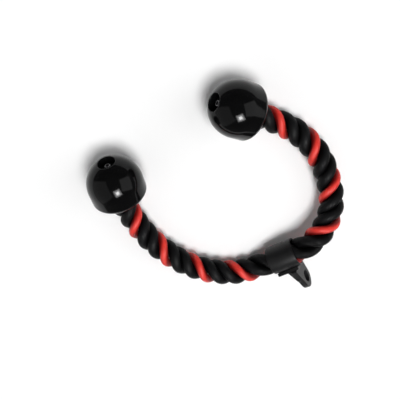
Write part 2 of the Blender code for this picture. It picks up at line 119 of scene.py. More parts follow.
# Ball grip, along its axis from the middle towards the recess.
BALL_RADIUS = 0.0324
BALL_FLANK = 0.0125
FRONT_DOME = 0.0345
REAR_DOME = 0.0120
BALL_LIP = 0.0022
BALL_SIDES = 128
FRONT_DOME_STEPS = 26
REAR_DOME_STEPS = 18
RECESS_RADIUS = 0.0100
RECESS_FILLET = 0.0008
RECESS_EDGE = 0.0008
RECESS_DEPTH = 0.0095
LIP_FILLET = 0.0011
WEB_THICKNESS = 0.005
BORE_RADIUS = ROPE_RADIUS + GAP
POCKET_WALL = 0.0014
FERRULE_LENGTH = 0.018
FERRULE_END = 0.0022
ROPE_END_GAP = 0.0045

# Retaining screw and washer at the bottom of the recess.
SCREW_RADIUS = 0.0030
SCREW_LENGTH = 0.0215
SCREW_HEAD_RADIUS = 0.0052
SCREW_HEAD_HEIGHT = 0.0032
HEAD_RIM_SHARE = 1 / 3
HEAD_CROWN_SHARE = 0.6
HEAD_FILLET = 0.0011
SOCKET_RADIUS = 0.0023
SOCKET_DEPTH = 0.0018
WASHER_RADIUS = 0.0084
WASHER_THICKNESS = 0.0016
WASHER_FILLET = 0.0005
FASTENER_SIDES = 64
SOCKET_SIDES = 6

# Clamp sleeve and its eye bracket. Unlike the CAD's, the eye plate has a fillet at its back and is turned about
# its own length, so that more of its face shows.
SLEEVE_LENGTH = 0.034
SLEEVE_WALL = 0.0018
SLEEVE_FILLET = 0.0008
SLEEVE_EDGE = 0.0006
SLEEVE_SIDES = 128
SLEEVE_RUN_OUT = 0.0005
SADDLE_THICKNESS = 0.0042
SADDLE_LENGTH = 0.027
SADDLE_OFFSET = -0.002
SADDLE_HALF_ANGLE_DEG = 46.0
SADDLE_STEPS = 40
EYE_PLATE_THICKNESS = 0.007
EYE_PLATE_OFFSET = 0.0061
EYE_REACH = 0.0427
EYE_HOLE_RADIUS = 0.0073
EYE_TIP_RADIUS = 0.0140
EYE_TIP_STEPS = 40
EYE_HOLE_SIDES = 96
EYE_ROOT = 0.0150
EYE_ROOT_HALF_WIDTH = 0.0180
EYE_ROLL_DEG = 14.0
EYE_TURN_DEG = 5.0
EYE_FILLET = 0.0042
EYE_FILLET_END = 0.0335
EYE_FILLET_HALF_HEIGHT = 0.0163
BRACKET_VOXEL = 0.00035
BRACKET_SMOOTHINGS = 30
BRACKET_SMOOTHING_SHARE = 0.5

# Mesh making: the steps of a rounded corner, and the angle from which an edge stays sharp.
ARC_STEPS = 6
SHARP_DEG = 35.0

# Materials. Each mixes two colours, its plain one is for viewers without the nodes, and its bumps have a depth
# in metres and a strength. The yarns and fibres are in the metres of the strands' lay coordinates.
STRAND_UV = "lay"
STRAND_ROUGHNESS = 0.42
STRAND_ROUGHNESS_SPREAD = 0.08
YARN_BUMP = (0.00016, 0.5)
FIBRE_BUMP = (0.00008, 0.6)
FIBRE_STRETCH = (90.0, 2600.0, 1.0)
FIBRE_DETAIL = 3.0
# Painted shade on the strands: each strand's first colour is painted down in the grooves beside it, and its
# second, lit colour on its outer side, in uneven patches.
SHADE_PATCH_SCALE = 160.0
SHADE_PATCH_SHARE = 0.3
GROOVE_SHADE_LEVELS = (0.5, 1.35)
RED_SHADED_AND_LIT = ((0.17, 0.004, 0.003), (0.85, 0.040, 0.027))
RED_SPECULAR = 0.3
BLACK_SHADED_AND_LIT = ((0.0015, 0.0015, 0.0017), (0.0078, 0.0078, 0.0083))
BLACK_SPECULAR = 0.07
CORE_PLAIN = (0.03, 0.03, 0.032)
CORE_COLOURS = ((0.022, 0.022, 0.024), (0.042, 0.042, 0.044))
CORE_ROUGHNESS = 0.75
CORE_GRAIN_SCALE = 1800.0
CORE_GRAIN_BUMP = (0.0001, 0.5)
BALL_PLAIN = (0.0024, 0.0024, 0.0026)
BALL_COLOURS = ((0.0022, 0.0023, 0.0024), (0.004, 0.004, 0.0042))
BALL_SPECULAR = 0.17
BALL_PLAIN_ROUGHNESS = 0.1
BALL_ROUGHNESSES = (0.06, 0.14)
BALL_RUB_STRETCH = (260.0, 40.0, 420.0)
BALL_RUB_DETAIL = 4.0
BALL_TINT_SCALE = 60.0
BALL_WAVE_SCALE = 45.0
BALL_WAVE_BUMP = (0.0004, 0.05)
CLAMP_PLAIN = (0.02, 0.02, 0.021)
CLAMP_COLOURS = ((0.005, 0.005, 0.0053), (0.011, 0.011, 0.0115))
CLAMP_SPECULAR = 0.2
CLAMP_PLAIN_ROUGHNESS = 0.4
CLAMP_ROUGHNESSES = (0.32, 0.46)
CLAMP_PEEL_SCALE = 1400.0
CLAMP_PEEL_DETAIL = 3.0
CLAMP_PEEL_BUMP = (0.00012, 0.35)
CLAMP_CLOUD_SCALE = 90.0
STEEL_PLAIN = (0.2, 0.2, 0.205)
STEEL_COLOURS = ((0.07, 0.07, 0.073), (0.14, 0.14, 0.144))
STEEL_PLAIN_ROUGHNESS = 0.3
STEEL_ROUGHNESSES = (0.14, 0.26)
STEEL_CLOUD_SCALE = 420.0
STEEL_CLOUD_DETAIL = 4.0
STEEL_GRAIN_SCALE = 2600.0
STEEL_GRAIN_BUMP = (0.00003, 0.4)

# Floor. It glows a little wherever it is seen, mirrored or seen through something, and more far from the soft
# lamp's foot, as the lamp lights it less there.
FLOOR_COLOUR = (0.94, 0.94, 0.94)
FLOOR_ROUGHNESS = 0.9
FLOOR_HALF = 4.0
FLOOR_DROP = 0.0001
FLOOR_GLOW = (0.045, 0.13)
GLOW_NEAR = 0.47
GLOW_FAR = 0.75

# Lamps: the way to each from the object's middle, how far it is, its width and its power in watts. The
# soft lamp overhead lights every surface but shows in no reflection. The glint lamp only shows in
# reflections: it is three squares, each in front of a wider one, so that it is brightest in its middle. The
# side lamp and the wall lamp are wide and dim, and do both.
SOFT_WAY = (0.13, -0.12, 1.0)
SOFT_DISTANCE = 2.2
SOFT_WIDTH = 0.88
SOFT_WATTS = 40.8
GLINT_WAY = (0.20, -0.445, 1.0)
GLINT_DISTANCE = 2.22
GLINT_SQUARES = ((1.03, 30.0), (0.70, 16.0), (0.42, 22.0))
GLINT_STEP = 0.005
SIDE_WAY = (0.76, 0.12, 0.64)
SIDE_DISTANCE = 2.6
SIDE_WIDTH = 2.25
SIDE_WATTS = 17.5
WALL_WAY = (-0.75, -0.35, 0.55)
WALL_DISTANCE = 2.6
WALL_WIDTH = 3.4
WALL_WATTS = 18.0
HORIZON_LEVEL = 0.12
ZENITH_LEVEL = 0.03
ZENITH_FROM = 0.6


def unit(vectors):
    vectors = np.asarray(vectors, float)
    return vectors / np.linalg.norm(vectors, axis=-1, keepdims=True)


def heading(heading_deg, pitch_deg):
    """The unit vector of a compass heading from +X and a pitch above the floor."""
    turn, rise = math.radians(heading_deg), math.radians(pitch_deg)
    level = math.cos(rise)
    return np.array([level * math.cos(turn), level * math.sin(turn), math.sin(rise)])


def run_length(points):
    return float(np.linalg.norm(np.diff(points, axis=0), axis=1).sum())


def smooth_run(points, first_direction, last_direction):
    """Points close together along the cubic spline through points, with its direction set at both ends."""
    points = np.asarray(points, float)
    steps = np.linalg.norm(np.diff(points, axis=0), axis=1)
    count = len(points)
    rows = np.zeros((count, count))
    wanted = np.zeros((count, 3))
    rows[0, 0] = rows[-1, -1] = 1
    wanted[0] = first_direction
    wanted[-1] = last_direction
    for i in range(1, count - 1):
        before, after = steps[i - 1], steps[i]
        rows[i, i - 1 : i + 2] = 1 / before, 2 / before + 2 / after, 1 / after
        wanted[i] = 3 * (points[i] - points[i - 1]) / before**2
        wanted[i] += 3 * (points[i + 1] - points[i]) / after**2
    slopes = np.linalg.solve(rows, wanted)
    run = [points[:1]]
    t = np.linspace(0, 1, SAMPLES_PER_RUN + 1)[1:, None]
    for i, step in enumerate(steps):
        run.append(
            (2 * t**3 - 3 * t**2 + 1) * points[i]
            + (t**3 - 2 * t**2 + t) * step * slopes[i]
            + (3 * t**2 - 2 * t**3) * points[i + 1]
            + (t**3 - t**2) * step * slopes[i + 1]
        )
    return np.concatenate(run)


class Route:
    """The rope's centre line, with a frame that doesn't twist along it."""

    def __init__(self, points):
        self.points = points
        steps = np.linalg.norm(np.diff(points, axis=0), axis=1)
        self.stations = np.concatenate([[0.0], np.cumsum(steps)])
        self.length = self.stations[-1]
        self.directions = unit(np.gradient(points, self.stations, axis=0))
        normals = [unit(np.cross((0, 0, 1), self.directions[0]))]
        for direction in self.directions[1:]:
            last = normals[-1]
            normals.append(unit(last - (last @ direction) * direction))
        self.normals = np.array(normals)

    def read(self, rows, stations):
        columns = [np.interp(stations, self.stations, rows[:, k]) for k in range(3)]
        return np.stack(columns, axis=-1)

    def at(self, stations):
        """Points, directions and two square vectors at stations. Past its ends the line runs straight on."""
        stations = np.asarray(stations, float)
        inside = np.clip(stations, 0, self.length)
        directions = unit(self.read(self.directions, inside))
        points = self.read(self.points, inside) + (stations - inside)[..., None] * directions
        normals = self.read(self.normals, inside)
        normals = unit(normals - (normals * directions).sum(-1, keepdims=True) * directions)
        return points, directions, normals, np.cross(directions, normals)


def dome_distance(radius, height):
    """How far from the ball's middle a dome of this height has this radius."""
    return BALL_FLANK / 2 + height * math.sqrt(1 - (radius / BALL_RADIUS) ** 2)


MOUTH_RADIUS = BORE_RADIUS + BALL_LIP
MOUTH_DISTANCE = dome_distance(MOUTH_RADIUS, REAR_DOME)
RECESS_MOUTH = dome_distance(RECESS_RADIUS + RECESS_EDGE, FRONT_DOME)
RECESS_FLOOR = RECESS_MOUTH - RECESS_DEPTH
POCKET_END = RECESS_FLOOR - WEB_THICKNESS
POCKET_START = POCKET_END - FERRULE_LENGTH - 2 * GAP
POCKET_RADIUS = BORE_RADIUS + POCKET_WALL + GAP
ROPE_END = POCKET_END - FERRULE_END - ROPE_END_GAP
SCREW_SEAT = RECESS_FLOOR + WASHER_THICKNESS + 2 * GAP
SCREW_HOLE_RADIUS = SCREW_RADIUS + GAP
SLEEVE_RADIUS = ROPE_RADIUS + GAP + SLEEVE_WALL
PLATE_LOW = EYE_PLATE_OFFSET - EYE_PLATE_THICKNESS / 2
PLATE_HIGH = EYE_PLATE_OFFSET + EYE_PLATE_THICKNESS / 2


class Layout:
    """Where everything sits: the clamp, the balls and the rope's route through them."""

    def __init__(self):
        self.left_axis = heading(LEFT_BALL_HEADING_DEG, LEFT_BALL_PITCH_DEG)
        self.right_axis = heading(RIGHT_BALL_HEADING_DEG, RIGHT_BALL_PITCH_DEG)
        self.clamp_axis = heading(CLAMP_HEADING_DEG, CLAMP_PITCH_DEG)
        self.left_ball = self.ball_place(LEFT_BALL_SHARES, LEFT_BALL_PITCH_DEG)
        self.right_ball = self.ball_place(RIGHT_BALL_SHARES, RIGHT_BALL_PITCH_DEG)
        pitch = math.radians(CLAMP_PITCH_DEG)
        drop = EYE_REACH * math.sin(math.radians(EYE_ROLL_DEG)) + EYE_TIP_RADIUS
        rest = drop * math.cos(pitch) - PLATE_LOW * math.sin(pitch)
        self.clamp = self.place(CLAMP_SHARES, rest)
        self.make_route()

    def place(self, shares, height):
        """The point at a place given as shares of the span, and at this height above the floor."""
        across, away = np.add(shares, SHIFT_SHARES) * ROUTE_SPAN
        return np.array([across, away, height])

    def ball_place(self, shares, pitch_deg):
        """A ball's middle, with the rear end of its pitched flank and its rear dome resting on the floor."""
        pitch = math.radians(pitch_deg)
        dome_rest = math.hypot(REAR_DOME * math.sin(pitch), BALL_RADIUS * math.cos(pitch))
        return self.place(shares, dome_rest + BALL_FLANK / 2 * math.sin(pitch))

    def arm_points(self, shares, ball):
        rise = ball[2] - ROPE_RADIUS
        return [self.place((x, y), ROPE_RADIUS + lift * rise) for x, y, lift in shares]

    def make_route(self):
        half = SLEEVE_LENGTH / 2 + SLEEVE_RUN_OUT
        left_mouth = self.left_ball - MOUTH_DISTANCE * self.left_axis
        right_mouth = self.right_ball - MOUTH_DISTANCE * self.right_axis
        left_sleeve = self.clamp - half * self.clamp_axis
        right_sleeve = self.clamp + half * self.clamp_axis
        left_arm = smooth_run(
            [left_mouth, *self.arm_points(LEFT_ARM_SHARES, self.left_ball), left_sleeve],
            -self.left_axis,
            self.clamp_axis,
        )
        right_arm = smooth_run(
            [right_sleeve, *self.arm_points(RIGHT_ARM_SHARES, self.right_ball), right_mouth],
            self.clamp_axis,
            self.right_axis,
        )
        buried = MOUTH_DISTANCE + ROPE_END
        inside = np.linspace(0, 1, SAMPLES_PER_RUN + 1)[:-1, None]
        left_end = left_mouth + buried * self.left_axis
        right_end = right_mouth + buried * self.right_axis
        into_left = left_end + inside * (left_mouth - left_end)
        through = left_sleeve + inside[1:] * (right_sleeve - left_sleeve)
        into_right = right_end + inside[::-1] * (right_mouth - right_end)
        self.route = Route(np.concatenate([into_left, left_arm, through, right_arm, into_right]))
        left_free, right_free = run_length(left_arm), run_length(right_arm)
        sleeve_start = buried + left_free
        sleeve_end = sleeve_start + 2 * half
        self.lost_starts = (sleeve_start - LOST_TURN_RUN, sleeve_end)
        left_bends = [sleeve_start - share * left_free for share in BEND_SHARES[::-1]]
        self.bends = left_bends + [sleeve_end + share * right_free for share in BEND_SHARES]

    def strand_turn(self, stations):
        """How far the strands have turned round the centre line at stations, and their rate there."""
        turns = stations / LAY_LENGTH
        rate = 1 / LAY_LENGTH
        for start in self.lost_starts:
            share = np.clip((stations - start) / LOST_TURN_RUN, 0, 1)
            turns = turns - LOST_TURN_SHARE / 2 * share**2 * (3 - 2 * share)
            rate = rate - LOST_TURN_SHARE / 2 * 6 * share * (1 - share) / LOST_TURN_RUN
        return 2 * math.pi * turns, 2 * math.pi * rate

    def sections(self):
        """Each section of rope bends at one hinge: its ends, the hinge's station and the two bodies."""
        bends = self.bends
        cuts = [0.0, *[(a + b) / 2 for a, b in zip(bends, bends[1:])], self.route.length]
        return list(zip(cuts[:-1], cuts[1:], bends, BODIES[:-1], BODIES[1:]))


def set_camera():
    """The camera at the photograph's place."""
    back = np.array([math.sin(math.radians(CAMERA_SIDE_DEG)), math.sin(math.radians(CAMERA_LEAN_DEG)), 0])
    back[2] = math.sqrt(1 - back @ back)
    up = unit(np.array([0, 1, 0]) - back[1] * back)
    across = np.cross(up, back)
    place = Matrix(np.stack([across, up, back], axis=1).tolist()).to_4x4()
    place.translation = Vector(back * CAMERA_DISTANCE + np.array(CAMERA_AIM))
    data = bpy.data.cameras.new("photo_camera")
    data.lens = LENS_MM
    camera = placed("photo_camera", data)
    camera.matrix_world = place
    bpy.context.scene.camera = camera


def placed(name, data):
    """A new object with this data, in the scene."""
    thing = bpy.data.objects.new(name, data)
    bpy.context.scene.collection.objects.link(thing)
    return thing


def principled(name, colour, roughness):
    """A material with its node tree and its Principled shader."""
    made = bpy.data.materials.new(name)
    made.use_nodes = True
    made.diffuse_color = (*colour, 1.0)
    shader = made.node_tree.nodes["Principled BSDF"]
    shader.inputs["Base Color"].default_value = (*colour, 1.0)
    shader.inputs["Roughness"].default_value = roughness
    return made, made.node_tree, shader


def noise(tree, vector, scale, detail=2.0):
    """A noise texture's factor, with features of about one over scale."""
    node = tree.nodes.new("ShaderNodeTexNoise")
    node.inputs["Scale"].default_value = scale
    node.inputs["Detail"].default_value = detail
    tree.links.new(vector, node.inputs["Vector"])
    return node.outputs["Fac"]


def ranged(tree, value, low, high):
    """A 0 to 1 value spread over low to high."""
    node = tree.nodes.new("ShaderNodeMapRange")
    node.inputs["To Min"].default_value = low
    node.inputs["To Max"].default_value = high
    tree.links.new(value, node.inputs["Value"])
    return node.outputs["Result"]


def mixed(tree, factor, first, second):
    """A colour between two, by a factor."""
    node = tree.nodes.new("ShaderNodeMix")
    node.data_type = "RGBA"
    node.inputs["A"].default_value = (*first, 1.0)
    node.inputs["B"].default_value = (*second, 1.0)
    tree.links.new(factor, node.inputs["Factor"])
    return node.outputs["Result"]


def maths(tree, operation, *values):
    """The value of a math node, whose inputs are numbers or other nodes' values."""
    node = tree.nodes.new("ShaderNodeMath")
    node.operation = operation
    for entry, value in zip(node.inputs, values):
        if isinstance(value, float):
            entry.default_value = value
        else:
            tree.links.new(value, entry)
    return node.outputs["Value"]


def coloured(tree, shader, factor, colours):
    """Gives a shader a colour between two, by a factor."""
    tree.links.new(mixed(tree, factor, *colours), shader.inputs["Base Color"])


def roughened(tree, shader, factor, roughnesses):
    """Gives a shader a roughness between two, by a factor."""
    tree.links.new(ranged(tree, factor, *roughnesses), shader.inputs["Roughness"])


def bumped(tree, shader, height, bump):
    """Gives a shader a bump of this depth and strength, over any bump that it already has."""
    depth, strength = bump
    node = tree.nodes.new("ShaderNodeBump")
    node.inputs["Strength"].default_value = strength
    node.inputs["Distance"].default_value = depth
    tree.links.new(height, node.inputs["Height"])
    for link in list(shader.inputs["Normal"].links):
        tree.links.new(link.from_socket, node.inputs["Normal"])
    tree.links.new(node.outputs["Normal"], shader.inputs["Normal"])


def place_of(tree):
    return tree.nodes.new("ShaderNodeTexCoord").outputs["Object"]


def painted_groove_shade(tree, uv, radius):
    """Painted shade: 1 on a strand's outer side and 0 down in the grooves beside it, in uneven patches."""
    split = tree.nodes.new("ShaderNodeSeparateXYZ")
    tree.links.new(uv, split.inputs["Vector"])
    height = maths(tree, "COSINE", maths(tree, "DIVIDE", split.outputs["Y"], radius))
    patched = maths(tree, "MULTIPLY_ADD", noise(tree, uv, SHADE_PATCH_SCALE), SHADE_PATCH_SHARE, height)
    level = tree.nodes.new("ShaderNodeMapRange")
    level.interpolation_type = "SMOOTHSTEP"
    level.inputs["From Min"].default_value, level.inputs["From Max"].default_value = GROOVE_SHADE_LEVELS
    tree.links.new(patched, level.inputs["Value"])
    return level.outputs["Result"]


def strand_material(name, colours, specular, radius):
    """Satin yarns that run along the rope, so slantwise over the strand, on a colour with painted shade in the
    grooves.
    """
    made, tree, shader = principled(name, colours[1], STRAND_ROUGHNESS)
    shader.inputs["Specular IOR Level"].default_value = specular
    uv = tree.nodes.new("ShaderNodeUVMap")
    uv.uv_map = STRAND_UV
    turned_uv = tree.nodes.new("ShaderNodeMapping")
    lean = math.atan(2 * math.pi * (ROPE_RADIUS - radius) / LAY_LENGTH)
    turned_uv.inputs["Rotation"].default_value[2] = lean
    tree.links.new(uv.outputs["UV"], turned_uv.inputs["Vector"])
    yarn_pitch = 2 * math.pi * radius * math.cos(lean) / YARNS_ROUND_STRAND
    split = tree.nodes.new("ShaderNodeSeparateXYZ")
    tree.links.new(turned_uv.outputs["Vector"], split.inputs["Vector"])
    wave = maths(tree, "COSINE", maths(tree, "MULTIPLY", split.outputs["Y"], 2 * math.pi / yarn_pitch))
    stretched = tree.nodes.new("ShaderNodeMapping")
    stretched.inputs["Scale"].default_value = FIBRE_STRETCH
    tree.links.new(turned_uv.outputs["Vector"], stretched.inputs["Vector"])
    fibres = noise(tree, stretched.outputs["Vector"], 1.0, FIBRE_DETAIL)
    # Painted shade: the strand's colour is dark down in its grooves and light on its outer side.
    coloured(tree, shader, painted_groove_shade(tree, uv.outputs["UV"], radius), colours)
    spread = STRAND_ROUGHNESS_SPREAD
    roughened(tree, shader, fibres, (STRAND_ROUGHNESS - spread, STRAND_ROUGHNESS + spread))
    bumped(tree, shader, wave, YARN_BUMP)
    bumped(tree, shader, fibres, FIBRE_BUMP)
    return made


def core_material():
    made, tree, shader = principled("core_cord_plain", CORE_PLAIN, CORE_ROUGHNESS)
    grain = noise(tree, place_of(tree), CORE_GRAIN_SCALE)
    coloured(tree, shader, grain, CORE_COLOURS)
    bumped(tree, shader, grain, CORE_GRAIN_BUMP)
    return made


def ball_material():
    """Black moulded plastic with a gloss that is a little uneven and has fine rub marks."""
    made, tree, shader = principled("ball_gloss", BALL_PLAIN, BALL_PLAIN_ROUGHNESS)
    shader.inputs["Specular IOR Level"].default_value = BALL_SPECULAR
    place = place_of(tree)
    rub = tree.nodes.new("ShaderNodeMapping")
    rub.inputs["Scale"].default_value = BALL_RUB_STRETCH
    tree.links.new(place, rub.inputs["Vector"])
    roughened(tree, shader, noise(tree, rub.outputs["Vector"], 1.0, BALL_RUB_DETAIL), BALL_ROUGHNESSES)
    coloured(tree, shader, noise(tree, place, BALL_TINT_SCALE), BALL_COLOURS)
    bumped(tree, shader, noise(tree, place, BALL_WAVE_SCALE), BALL_WAVE_BUMP)
    return made


def clamp_material():
    """Satin dark grey powder coat with a fine orange peel."""
    made, tree, shader = principled("clamp_satin", CLAMP_PLAIN, CLAMP_PLAIN_ROUGHNESS)
    shader.inputs["Specular IOR Level"].default_value = CLAMP_SPECULAR
    place = place_of(tree)
    peel = noise(tree, place, CLAMP_PEEL_SCALE, CLAMP_PEEL_DETAIL)
    coloured(tree, shader, noise(tree, place, CLAMP_CLOUD_SCALE), CLAMP_COLOURS)
    roughened(tree, shader, peel, CLAMP_ROUGHNESSES)
    bumped(tree, shader, peel, CLAMP_PEEL_BUMP)
    return made


def steel_material():
    """Zinc-plated steel, fine-grained, with a cloudy plating."""
    made, tree, shader = principled("zinc_steel_turned", STEEL_PLAIN, STEEL_PLAIN_ROUGHNESS)
    shader.inputs["Metallic"].default_value = 1.0
    place = place_of(tree)
    cloud = noise(tree, place, STEEL_CLOUD_SCALE, STEEL_CLOUD_DETAIL)
    coloured(tree, shader, cloud, STEEL_COLOURS)
    roughened(tree, shader, cloud, STEEL_ROUGHNESSES)
    bumped(tree, shader, noise(tree, place, STEEL_GRAIN_SCALE), STEEL_GRAIN_BUMP)
    return made


def strand_surface(layout, circle, radius, number, first, last, rings, sides):
    """Points, normals and lay coordinates in rows on a strand, each row square to the rope, not the strand."""
    stations = np.linspace(first, last, rings)
    angles = np.linspace(-math.pi, math.pi, sides + 1)[:-1]
    lean = np.arctan(layout.strand_turn(stations)[1] * circle)[:, None]
    stations = stations[:, None] + radius * np.sin(angles) * np.sin(lean)
    centre, direction, normal, other = layout.route.at(stations)
    turn = layout.strand_turn(stations)[0][..., None]
    turn = turn + math.radians(RED_STRAND_DEG) + 2 * math.pi * number / len(STRANDS)
    outward = np.cos(turn) * normal + np.sin(turn) * other
    around = np.cos(turn) * other - np.sin(turn) * normal
    across = np.cos(lean)[..., None] * around - np.sin(lean)[..., None] * direction
    normals = np.cos(angles)[:, None] * outward + np.sin(angles)[:, None] * across
    return centre + circle * outward + radius * normals, normals, stations / np.cos(lean)


def tube_mesh(name, points, normals, lengths, radius):
    """A closed tube through rows of points, smooth along its sides, with lay coordinates in metres."""
    rings, sides = points.shape[:2]
    index = np.arange(rings * sides).reshape(rings, sides)
    after = np.roll(index, -1, axis=1)
    quads = np.stack([index[:-1], after[:-1], after[1:], index[1:]], axis=-1).reshape(-1, 4)
    caps = [index[0, ::-1].tolist(), index[-1].tolist()]
    mesh = bpy.data.meshes.new(name)
    mesh.from_pydata(points.reshape(-1, 3).tolist(), [], quads.tolist() + caps)
    mesh.shade_smooth()
    round_it = radius * np.linspace(-math.pi, math.pi, sides + 1)
    near, far = round_it[:-1], round_it[1:]
    corner_round = np.stack([near, far, far, near], axis=-1)
    corner_round = np.broadcast_to(corner_round, (rings - 1, sides, 4)).reshape(-1)
    corner_along = lengths.reshape(-1)[quads].reshape(-1)
    cap_uv = np.zeros(2 * len(caps) * sides)
    layer = mesh.uv_layers.new(name=STRAND_UV)
    uvs = np.stack([corner_along, corner_round], axis=-1).reshape(-1)
    layer.data.foreach_set("uv", np.concatenate([uvs, cap_uv]).astype(np.float32))
    flat = normals.reshape(-1, 3)
    ends = [-unit(np.cross(points[0, 1] - points[0, 0], points[0, 2] - points[0, 0]))]
    ends.append(unit(np.cross(points[-1, 1] - points[-1, 0], points[-1, 2] - points[-1, 0])))
    corner_normals = [flat[quads.reshape(-1)]]
    corner_normals += [np.broadcast_to(end, (sides, 3)) for end in ends]
    mesh.normals_split_custom_set(np.concatenate(corner_normals).tolist())
    return mesh


def add_strand(layout, section, number, kind, materials):
    """One strand, or the core, of one section of rope, which runs across the section's hinge."""
    first, last, bend, near_body, far_body = section
    core = kind == "core_cord"
    radius, sides = (CORE_RADIUS, CORE_SIDES) if core else (STRAND_RADII[number], STRAND_SIDES)
    circle = 0 if core else ROPE_RADIUS - radius
    rings = math.ceil((last - first) / LAY_LENGTH * STRAND_RINGS_PER_LAY) + 1
    rows = strand_surface(layout, circle, radius, number, first, last, rings, sides)
    body_number = BODIES.index(near_body) + 1
    name = f"rope_{kind}_{body_number}"
    mesh = tube_mesh(name, *rows, radius)
    slot = {"strand_red": "red_strand", "core_cord": "core_cord"}.get(kind, "black_strand")
    mesh.materials.append(materials[slot])
    piece = placed(name, mesh)
    start, end = layout.route.at([bend - BEND_HALF, bend + BEND_HALF])[0].tolist()
    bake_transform(piece)
    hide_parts(f"{kind}_{near_body}", f"{kind}_{far_body}")


def add_rope(layout, materials):
    for section in layout.sections():
        for number, kind in enumerate(STRANDS):
            add_strand(layout, section, number, kind, materials)
        add_strand(layout, section, 0, "core_cord", materials)


def axis_place(centre, axis):
    """A placement whose X runs along axis from centre, with Z as near up as it goes."""
    x = Vector(unit(axis))
    y = Vector((0, 0, 1)).cross(x).normalized()
    rows = Matrix((x, y, x.cross(y))).transposed().to_4x4()
    rows.translation = Vector(centre)
    return rows


def rounded(corners):
    """An outline of (along, radius, fillet) corners as points, with an arc where there is a fillet."""
    made = []
    for i, (along, radius, fillet) in enumerate(corners):
        here = np.array([along, radius])
        if not fillet:
            made.append((along, radius))
            continue
        before = unit(np.array(corners[i - 1][:2]) - here)
        after = unit(np.array(corners[(i + 1) % len(corners)][:2]) - here)
        half = math.acos(float(np.clip(before @ after, -1, 1))) / 2
        middle = here + unit(before + after) * fillet / math.sin(half)
        first, last = (here + leg * fillet / math.tan(half) - middle for leg in (before, after))
        begin = math.atan2(first[1], first[0])
        sweep = math.atan2(last[1], last[0]) - begin
        sweep = (sweep + math.pi) % (2 * math.pi) - math.pi
        for share in np.linspace(0, 1, ARC_STEPS + 1):
            angle = begin + sweep * share
            made.append((middle[0] + fillet * math.cos(angle), middle[1] + fillet * math.sin(angle)))
    return made


def turned(profile, sides):
    """A closed profile of (along, radius) points turned round the X axis, in the same order each run."""
    bm = bmesh.new()
    angles = 2 * math.pi * np.arange(sides) / sides
    rings = []
    for along, radius in profile:
        if radius > 0:
            ring = [bm.verts.new((along, -radius * math.sin(a), radius * math.cos(a))) for a in angles]
        else:
            ring = [bm.verts.new((along, 0.0, 0.0))] * sides
        rings.append(ring)
    pairs = list(zip(rings, rings[1:]))
    if profile[0][1] > 0 or profile[-1][1] > 0:
        pairs.append((rings[-1], rings[0]))
    for near, far in pairs:
        for i in range(sides):
            corners = (near[i - 1], near[i], far[i], far[i - 1])
            bm.faces.new(list(dict.fromkeys(corners)))
    return bm


def cylinder(low, high, radius, sides):
    """A solid cylinder round the X axis, from low to high."""
    return turned([(low, 0.0), (low, radius), (high, radius), (high, 0.0)], sides)


def extruded(points, push):
    """The solid between a flat face through points and that face pushed away, in the same order each run."""
    bm = bmesh.new()
    near = [bm.verts.new(point) for point in points]
    far = [bm.verts.new(Vector(point) + Vector(push)) for point in points]
    bm.faces.new(near)
    bm.faces.new(far)
    for i in range(len(points)):
        bm.faces.new((near[i - 1], near[i], far[i], far[i - 1]))
    return bm


def prism(outline, low, high):
    """A flat outline of (across, outward) points, pushed along X from low to high."""
    return extruded([(low, -outward, across) for across, outward in outline], (high - low, 0, 0))


def mesh_of(name, bm):
    """A bmesh as a mesh, smooth except at its sharp edges."""
    bmesh.ops.recalc_face_normals(bm, faces=bm.faces)
    mesh = bpy.data.meshes.new(name)
    bm.to_mesh(mesh)
    bm.free()
    mesh.shade_smooth()
    mesh.set_sharp_from_angle(angle=math.radians(SHARP_DEG))
    return mesh


def carved(name, bm, *steps):
    """The mesh of bm after Boolean steps, each an operation and its own bmesh."""
    base = placed(name, mesh_of(name, bm))
    helpers = []
    for operation, other in steps:
        helper = placed(f"{name}_helper", mesh_of(f"{name}_helper", other))
        helpers.append(helper)
        modifier = base.modifiers.new("step", "BOOLEAN")
        modifier.operation = operation
        modifier.solver = "EXACT"
        modifier.object = helper
    mesh = settled(base)
    for helper in helpers:
        bpy.data.objects.remove(helper)
    return mesh


def settled(thing):
    """The mesh that an object's modifiers make. The object goes away."""
    graph = bpy.context.evaluated_depsgraph_get()
    mesh = bpy.data.meshes.new_from_object(thing.evaluated_get(graph))
    mesh.name = thing.name
    bpy.data.objects.remove(thing)
    return mesh


def add_piece(name, mesh, place, material, body, node):
    """A piece that rides on a body and stands for a CAD node."""
    mesh.transform(place)
    mesh.materials.clear()
    mesh.materials.append(material)
    piece = placed(name, mesh)
    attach(piece, body)
    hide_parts(node)


def ball_profile():
    """The grip's outline, from its recess round the outside to the mouth and back through the bores."""
    recess_rim = math.asin(RECESS_RADIUS / BALL_RADIUS)
    mouth_rim = math.pi - math.asin(MOUTH_RADIUS / BALL_RADIUS)
    outline = []
    for angle in np.linspace(recess_rim, math.pi / 2, FRONT_DOME_STEPS + 1):
        outline.append((BALL_FLANK / 2 + FRONT_DOME * math.cos(angle), BALL_RADIUS * math.sin(angle), 0))
    for angle in np.linspace(math.pi / 2, mouth_rim, REAR_DOME_STEPS + 1):
        outline.append((-BALL_FLANK / 2 + REAR_DOME * math.cos(angle), BALL_RADIUS * math.sin(angle), 0))
    outline[0] = (*outline[0][:2], RECESS_FILLET)
    outline[-1] = (*outline[-1][:2], RECESS_FILLET)
    outline += [
        (-MOUTH_DISTANCE, BORE_RADIUS, LIP_FILLET),
        (POCKET_START, BORE_RADIUS, 0),
        (POCKET_START, POCKET_RADIUS, 0),
        (POCKET_END, POCKET_RADIUS, 0),
        (POCKET_END, SCREW_HOLE_RADIUS, 0),
        (RECESS_FLOOR, SCREW_HOLE_RADIUS, 0),
        (RECESS_FLOOR, RECESS_RADIUS, RECESS_FILLET),
    ]
    return rounded(outline)


